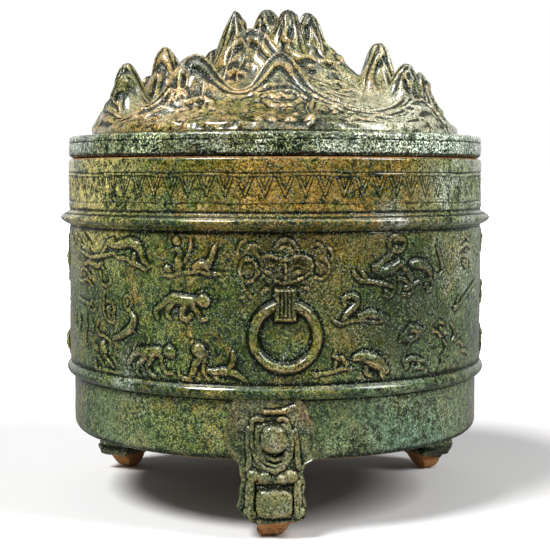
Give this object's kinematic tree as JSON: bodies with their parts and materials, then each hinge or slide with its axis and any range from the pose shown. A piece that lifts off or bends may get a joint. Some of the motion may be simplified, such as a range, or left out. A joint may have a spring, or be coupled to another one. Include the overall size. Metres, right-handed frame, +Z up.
{
  "type": "hill censer",
  "caption": "Round glazed earthenware jar on three bear-shaped feet, with a relief frieze, mask-and-ring ornaments and a lift-off lid moulded as mountains.",
  "frame": {"origin": "on the standing plane, on the jar's axis", "axes": "+Z up along the jar's axis; -Y to the front, where the mask and the front foot are; +X to the right seen from the front"},
  "size_m": [0.2018, 0.2038, 0.228],
  "materials": {
    "jar_glaze": "glossy green lead glaze with amber patches",
    "relief_glaze": "glossy green to amber lead glaze, thin on the raised parts",
    "foot_glaze": "dark green lead glaze, bare clay at the tips",
    "lid_glaze": "olive lead glaze with silvery iridescence",
    "bare_clay": "unglazed red-orange earthenware"
  },
  "bodies": {
    "jar": {"jar_wall": "jar_glaze", "jar_floor": "bare_clay", "foot_front": "foot_glaze", "foot_rear_right": "foot_glaze", "foot_rear_left": "foot_glaze", "mask_front": "relief_glaze", "ring_front": "relief_glaze", "mask_back": "relief_glaze", "ring_back": "relief_glaze", "front_leaping_beast": "relief_glaze", "back_leaping_beast": "relief_glaze", "front_bear": "relief_glaze", "back_bear": "relief_glaze", "front_arched_beast": "relief_glaze", "back_arched_beast": "relief_glaze", "front_small_beast": "relief_glaze", "back_small_beast": "relief_glaze", "front_spread_wings": "relief_glaze", "back_spread_wings": "relief_glaze", "front_crouching_beast": "relief_glaze", "back_crouching_beast": "relief_glaze", "front_standing_figure": "relief_glaze", "back_standing_figure": "relief_glaze", "front_small_bird": "relief_glaze", "back_small_bird": "relief_glaze", "front_curved_hill": "relief_glaze", "back_curved_hill": "relief_glaze", "front_wolf": "relief_glaze", "back_wolf": "relief_glaze", "front_walking_beast": "relief_glaze", "back_walking_beast": "relief_glaze", "front_upright_figure": "relief_glaze", "back_upright_figure": "relief_glaze", "front_snake": "relief_glaze", "back_snake": "relief_glaze", "front_crane": "relief_glaze", "back_crane": "relief_glaze", "front_boar": "relief_glaze", "back_boar": "relief_glaze", "front_owl": "relief_glaze", "back_owl": "relief_glaze", "front_hare": "relief_glaze", "back_hare": "relief_glaze", "front_climber": "relief_glaze", "back_climber": "relief_glaze", "front_dragon": "relief_glaze", "back_dragon": "relief_glaze", "front_stretched_beast": "relief_glaze", "back_stretched_beast": "relief_glaze", "right_arched_beast": "relief_glaze", "right_bear": "relief_glaze", "right_walking_beast": "relief_glaze", "left_dragon": "relief_glaze", "left_crane": "relief_glaze", "left_boar": "relief_glaze"},
    "lid": {"lid_flange": "lid_glaze", "lid_hills": "lid_glaze", "lid_beast_front": "lid_glaze", "lid_beast_left": "lid_glaze"}
  },
  "joints": [
    {"name": "lid_lift", "type": "slide", "parent": "jar", "child": "lid", "axis": [0, 0, 1], "range_m": [0, 0.12]}
  ]
}
